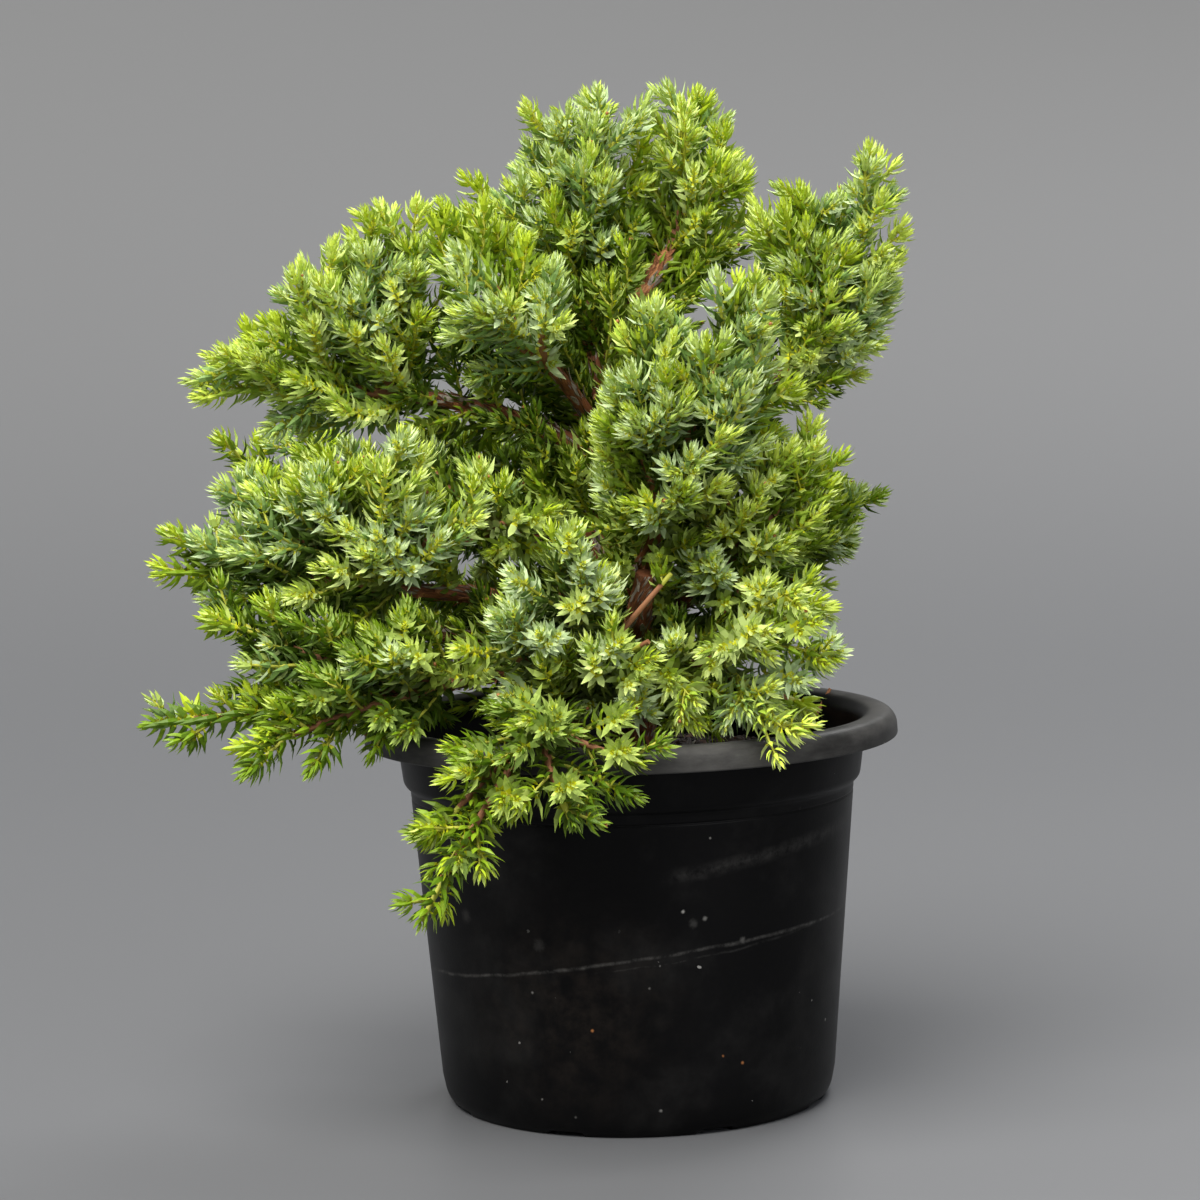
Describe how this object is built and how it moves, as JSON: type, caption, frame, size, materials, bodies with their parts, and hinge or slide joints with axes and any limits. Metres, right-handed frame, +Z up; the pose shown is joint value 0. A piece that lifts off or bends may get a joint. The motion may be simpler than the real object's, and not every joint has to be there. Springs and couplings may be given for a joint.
{
  "type": "dwarf creeping juniper in nursery pot",
  "caption": "Dwarf creeping juniper whose dense blue-green and lime sprays lean out over the rim of a round black plastic nursery pot.",
  "frame": {"origin": "centre of the flat underside of the pot, on the surface that it stands on", "axes": "+Z up along the pot's axis, -Y towards the side that the plant is seen from, -X towards the side that its crown leans over"},
  "size_m": [0.1876, 0.1795, 0.2495],
  "materials": {
    "black_plastic": "satin, with fine dust and scuffs",
    "peat": "damp crumbly peat and bark mix",
    "bark": "thin peeling grey strips over red-brown",
    "foliage": "waxy needles with pale upper faces"
  },
  "bodies": {
    "root": {"pot": "black_plastic", "soil": "peat", "trunk": "bark", "bough_top": "bark", "bough_right_head": "bark", "bough_upper_left": "bark", "bough_middle_left": "bark", "bough_inner_left": "bark", "bough_lower_left": "bark", "bough_low_left": "bark", "bough_left_under": "bark", "bough_front_hang": "bark", "bough_front_middle": "bark", "bough_centre": "bark", "bough_right_front": "bark", "bough_right_rim": "bark", "bough_right_back": "bark", "bough_right_middle": "bark", "bough_left_back": "bark", "bough_back_high": "bark", "bough_back_middle": "bark", "bough_back_low": "bark", "foliage_top": "foliage", "foliage_top_right": "foliage", "foliage_right_head": "foliage", "foliage_upper_left": "foliage", "foliage_middle_left": "foliage", "foliage_inner_left": "foliage", "foliage_lower_left": "foliage", "foliage_low_left": "foliage", "foliage_left_under": "foliage", "foliage_front_hang": "foliage", "foliage_front_middle": "foliage", "foliage_centre": "foliage", "foliage_right_front": "foliage", "foliage_right_rim": "foliage", "foliage_right_back": "foliage", "foliage_right_middle": "foliage", "foliage_left_back": "foliage", "foliage_back_high": "foliage", "foliage_back_middle": "foliage", "foliage_back_low": "foliage"}
  },
  "joints": []
}
